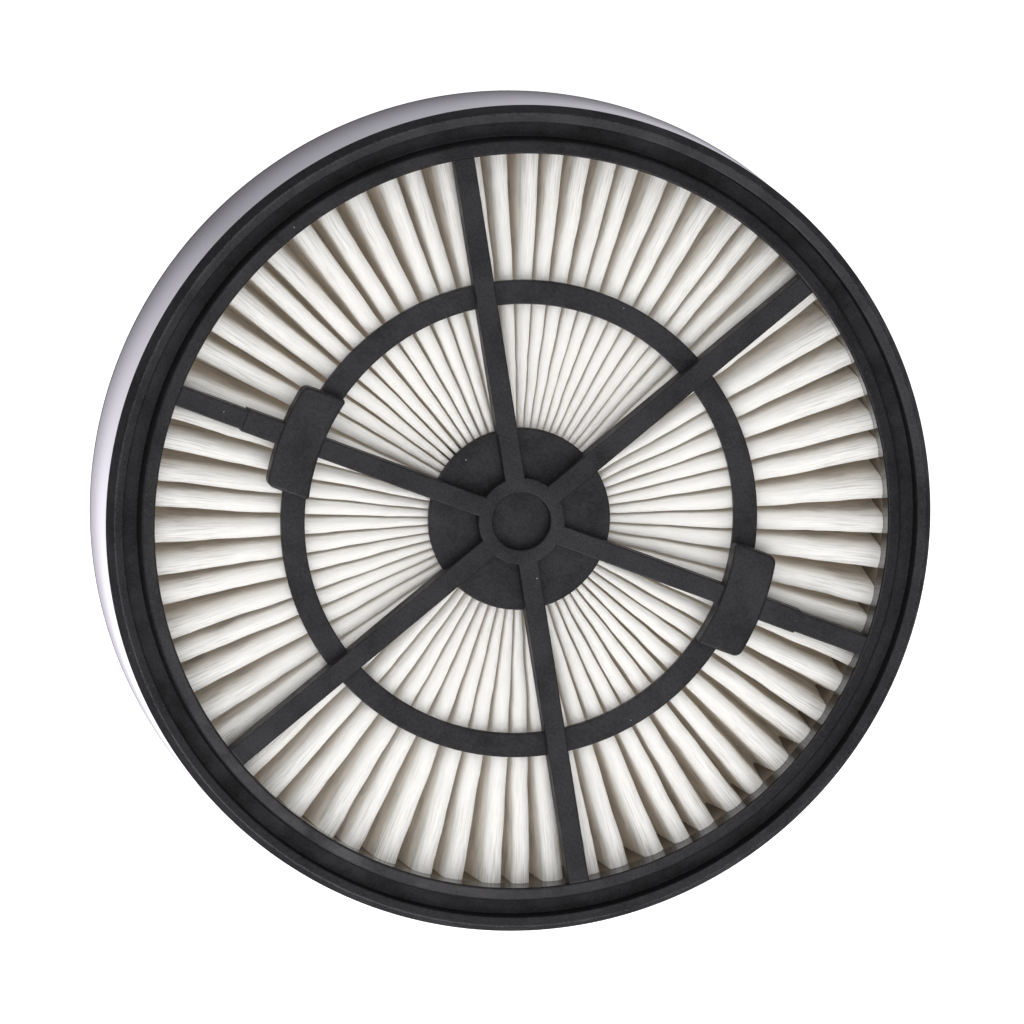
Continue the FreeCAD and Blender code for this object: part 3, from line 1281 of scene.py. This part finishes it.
    def build(self, material: Material) -> Object:
        """Makes the moulding.

        Args:
            material: Its material.

        Returns:
            The moulding, as one object.
        """
        mid, width = self.mid_ring_radius, self.mid_ring_width
        hub, low, rim = self.hub_hole_radius, self.spoke_bottom, self.hub_plate_radius
        plate = lathe(rounded([(0, low, 0), (rim, low, 0), (rim, self.web_top, self.rib_round),
                               (0, self.web_top, 0)]), self.segments, Ring.ON_AXIS)
        spoke = self.bar(hub + self.hub_ring_width / 2, self.opening + self.bezel_wall / 2,
                         self.spoke_width, self.spoke_top)
        pad = self.bar(mid + width / 2, mid + self.tab_reach + self.pad_reach,
                       self.spoke_width + self.pad_extra_width, self.spoke_top + self.pad_rise)
        parts = [
            add_object("rim", self.rim()),
            add_object("hub_plate", plate),
            add_object("hub_ring", self.band(hub, hub + self.hub_ring_width, self.spoke_top)),
            add_object("mid_ring", self.band(mid, mid + width, self.web_top)),
            self.around("spokes", spoke, self.spoke_count, material),
            self.around("tab_stems", self.tab_stem(), self.tab_count, material),
            self.around("tab_plates", self.tab_plate_mesh(), self.tab_count, material),
            self.around("pads", pad, self.tab_count, material),
        ]
        moulding = fuse("moulded_frame", parts)
        moulding.data.materials.clear()
        moulding.data.materials.append(material)
        smooth(moulding, self.sharp_degrees)
        return moulding


def direction(azimuth: float, elevation: float) -> Vector:
    """The way to a place in the sky.

    Args:
        azimuth: Where it is round the filter, in degrees from +X.
        elevation: Its height above the table, in degrees.

    Returns:
        A vector of length 1.
    """
    turn, rise = math.radians(azimuth), math.radians(elevation)
    return Vector((math.cos(rise) * math.cos(turn), math.cos(rise) * math.sin(turn), math.sin(rise)))


def facing(way: Vector) -> Matrix:
    """The turn of a lamp that shines back along a direction."""
    return way.to_track_quat("Z", "Y").to_matrix().to_4x4()


@dataclass(frozen=True)
class Window:
    """A soft square lamp that faces the filter; a gleam is only seen mirrored, as in rounded edges."""

    name: str
    azimuth_degrees: float
    elevation_degrees: float
    distance: float
    size: float
    power: float
    gleam: bool = False

    def build(self) -> None:
        """Adds the lamp."""
        data = bpy.data.lights.new(self.name, "AREA")
        data.size, data.energy = self.size, self.power
        lamp = add_object(self.name, data)
        way = direction(self.azimuth_degrees, self.elevation_degrees)
        lamp.matrix_world = Matrix.Translation(way * self.distance) @ facing(way)
        lamp.visible_diffuse = not self.gleam


@dataclass(frozen=True)
class Studio:
    """Camera, lamps, table and world."""

    distance: float = 5.0
    tilt_degrees: float = 11.2
    azimuth_degrees: float = 158.0
    up_azimuth_degrees: float = 111.0
    face_level: float = 21.2 * MM
    metres_per_pixel: float = 0.16796 * MM
    centre_pixel: Pair = (518.9, 518.6)
    image_pixels: int = 1024
    sensor: float = 36.0
    clip: Pair = (0.05, 20)
    windows: Tuple[Window, ...] = (
        Window("key", azimuth_degrees=285, elevation_degrees=58, distance=1.2, size=1.2, power=9.9),
        Window("fill", azimuth_degrees=120, elevation_degrees=60, distance=1.4, size=0.9, power=3.6),
        Window("gleam_back", azimuth_degrees=155, elevation_degrees=33, distance=1.2, size=0.7, power=4.5,
               gleam=True),
        Window("gleam_front", azimuth_degrees=266, elevation_degrees=33, distance=1.2, size=0.7, power=9.0,
               gleam=True),
    )
    seep_count: int = 4
    seep_light: float = 0.27
    seep_colour: Colour = (1.0, 0.91, 0.79)
    seep_azimuth_degrees: float = 30.0
    seep_elevation_degrees: float = 12.0
    seep_spread_degrees: float = 60.0
    sky_light: float = 0.55
    table_size: float = 3.0
    table_gap: float = 0.02 * MM

    def camera(self) -> None:
        """Puts the camera where the photograph was taken from, with a long lens."""
        back = direction(self.azimuth_degrees, 90 - self.tilt_degrees)
        up = direction(self.up_azimuth_degrees, 0)
        up = (up - back * up.dot(back)).normalized()
        right = up.cross(back)
        middle = self.image_pixels / 2
        off_x, off_y = ((middle - pixel) * self.metres_per_pixel for pixel in self.centre_pixel)
        aim = Vector((0, 0, self.face_level)) + right * off_x - up * off_y
        data = bpy.data.cameras.new("camera")
        data.sensor_width = self.sensor
        data.lens = self.sensor * self.distance / (self.image_pixels * self.metres_per_pixel)
        data.clip_start, data.clip_end = self.clip
        camera = add_object("camera", data)
        turn = Matrix((right, up, back)).transposed().to_4x4()
        camera.matrix_world = Matrix.Translation(aim + back * self.distance) @ turn
        bpy.context.scene.camera = camera

    def seep(self) -> None:
        """Weak warm light that no fold shades, as thin sheet lets light through from fold to fold."""
        for i in range(self.seep_count):
            data = bpy.data.lights.new(f"seep_{i + 1}", "SUN")
            data.energy, data.color = self.seep_light, self.seep_colour
            data.angle = math.radians(self.seep_spread_degrees)
            data.use_shadow = False
            azimuth = self.seep_azimuth_degrees + 360 / self.seep_count * i
            sun = add_object(data.name, data)
            sun.matrix_world = facing(direction(azimuth, self.seep_elevation_degrees))

    def world(self) -> None:
        """A plain world: white where it is seen, and a soft even light."""
        world = bpy.data.worlds.new("studio")
        world.use_nodes = True
        graph = Graph(world.node_tree)
        seen = graph.term(graph.node("ShaderNodeLightPath"), "Is Camera Ray")
        sky = graph.node("ShaderNodeBackground", {"Color": (1, 1, 1, 1),
                                                  "Strength": graph.blend(seen, self.sky_light, 1.0)})
        graph.node("ShaderNodeOutputWorld", {"Surface": sky.outputs[0]})
        bpy.context.scene.world = world

    def table(self) -> None:
        """The plain surface under the filter."""
        bpy.ops.mesh.primitive_plane_add(size=self.table_size, location=(0, 0, -self.table_gap))
        table = bpy.context.object
        table.name = "table"
        table.data.materials.append(WhiteTable().build("white_table"))
        table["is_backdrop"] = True

    def build(self) -> None:
        """Sets the whole studio up."""
        self.camera()
        self.world()
        self.table()
        for window in self.windows:
            window.build()
        self.seep()
        bpy.context.scene.view_settings.view_transform = "Standard"


def corners() -> List[List[float]]:
    """The lowest and highest corner of everything that shows, as plain numbers."""
    return [[round(v, 6) for v in corner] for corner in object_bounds()]


def main() -> None:
    """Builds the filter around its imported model, and the studio around the filter."""
    logging.basicConfig(level=logging.INFO, format="%(message)s")
    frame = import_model()
    form = Frame()
    plastic = MouldedPlastic(form.opening, form.rim_radius, form.rim_height).build("moulded_plastic")
    fibre = FibreSheet().build("fibre_sheet")
    glue = HotGlue().build("hot_melt")

    folded = PleatedSheet()
    sheet = folded.build(fibre)
    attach(sheet, BODY)
    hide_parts("pleated_media")
    folded.flat_size()

    moulding = form.build(plastic)
    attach(moulding, BODY)
    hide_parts("frame")

    for node, material in (("core_plug", plastic), ("rim_glue_bead", glue), ("core_glue_bead", glue)):
        mesh = frame["nodes"][node].data
        mesh.materials.clear()
        mesh.materials.append(material)
        LOG.info("%s: %d faces, as packed", node, len(mesh.polygons))

    Studio().build()
    for piece in (sheet, moulding):
        LOG.info("%s: %d faces", piece.name, len(piece.data.polygons))


if __name__ == "__main__":
    main()
